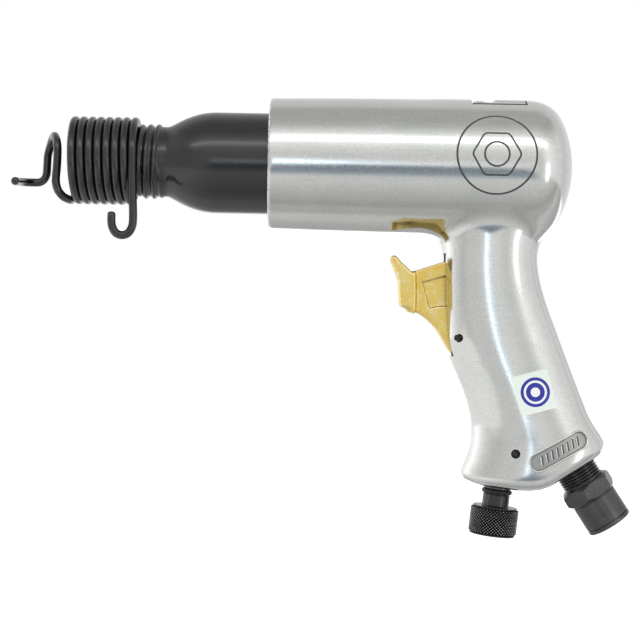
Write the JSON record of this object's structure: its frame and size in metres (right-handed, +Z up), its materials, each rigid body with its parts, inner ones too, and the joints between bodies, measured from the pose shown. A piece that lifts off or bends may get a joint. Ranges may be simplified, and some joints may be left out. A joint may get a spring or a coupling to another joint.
{
  "type": "pneumatic air hammer",
  "caption": "Pistol-grip pneumatic hammer with a polished cast housing, black barrel, coiled chisel retainer, brass trigger, knurled air regulator and threaded air inlet.",
  "frame": {"origin": "the middle of the grip, where the hand holds the tool", "axes": "+X from the barrel nose to the rear of the housing along the barrel axis, +Z up from the grip to the barrel, +Y to the far side when the nose points left"},
  "size_m": [0.2271, 0.0494, 0.1585],
  "materials": {
    "cast_aluminium": "tumbled and polished casting, satin",
    "black_steel": "black oxide, semi-gloss",
    "machined_steel": "ground steel",
    "bright_steel": "polished steel",
    "zinc_steel": "bright zinc plate",
    "yellow_brass": "bright brass, lightly tumbled",
    "rubber": "moulded seal rubber",
    "label_film": "printed film, satin",
    "spring_wire": "black oxide spring wire"
  },
  "bodies": {
    "housing_body": {"housing": "cast_aluminium", "barrel": "black_steel", "barrel_lock_ring": "machined_steel", "valve_case_front": "machined_steel", "valve_case_rear": "machined_steel", "valve_dowel_pin": "bright_steel", "valve_back_plate": "machined_steel", "valve_seal_ring": "rubber", "exhaust_deflector": "cast_aluminium", "deflector_screw": "zinc_steel", "trigger_pin": "black_steel", "throttle_bushing": "yellow_brass", "throttle_bushing_o_ring": "rubber", "throttle_spring": "bright_steel", "regulator_pin": "black_steel", "inlet_bushing": "black_steel", "inlet_strainer": "yellow_brass", "grip_label": "label_film"},
    "piston": {"piston": "bright_steel"},
    "shuttle": {"valve_shuttle": "bright_steel"},
    "trigger": {"trigger": "yellow_brass"},
    "plunger": {"throttle_plunger": "bright_steel"},
    "throttle": {"throttle_valve": "rubber"},
    "regulator": {"regulator_screw": "black_steel", "regulator_o_ring_lower": "rubber", "regulator_o_ring_upper": "rubber"},
    "retainer": {"retainer_spring": "spring_wire"}
  },
  "joints": [
    {"name": "trigger_pull", "type": "hinge", "parent": "housing_body", "child": "trigger", "pos_m": [-0.0178, 0, 0.0042], "axis": [0, 1, 0], "range_deg": [0, 8], "stiffness_Nm_per_rad": 0.9, "springref_deg": -5.73},
    {"name": "throttle_plunger_slide", "type": "slide", "parent": "housing_body", "child": "plunger", "axis": [1, 0, 0], "range_m": [0, 0.0025]},
    {"name": "throttle_valve_slide", "type": "slide", "parent": "housing_body", "child": "throttle", "axis": [1, 0, 0], "range_m": [0, 0.0025]},
    {"name": "regulator_turn", "type": "hinge", "parent": "housing_body", "child": "regulator", "pos_m": [-0.00204, 0, -0.05], "axis": [-0.1005, 0, -0.9949], "continuous": true},
    {"name": "piston_stroke", "type": "slide", "parent": "housing_body", "child": "piston", "axis": [-1, 0, 0], "range_m": [0, 0.042]},
    {"name": "shuttle_shift", "type": "slide", "parent": "housing_body", "child": "shuttle", "axis": [1, 0, 0], "range_m": [0, 0.0013]},
    {"name": "retainer_turn", "type": "hinge", "parent": "housing_body", "child": "retainer", "pos_m": [-0.147, 0, 0.066], "axis": [-1, 0, 0], "continuous": true}
  ],
  "couplings": [
    {"joint": "throttle_plunger_slide", "follows": "trigger_pull", "m_per_rad": 0.0172},
    {"joint": "throttle_valve_slide", "follows": "trigger_pull", "m_per_rad": 0.0172}
  ]
}
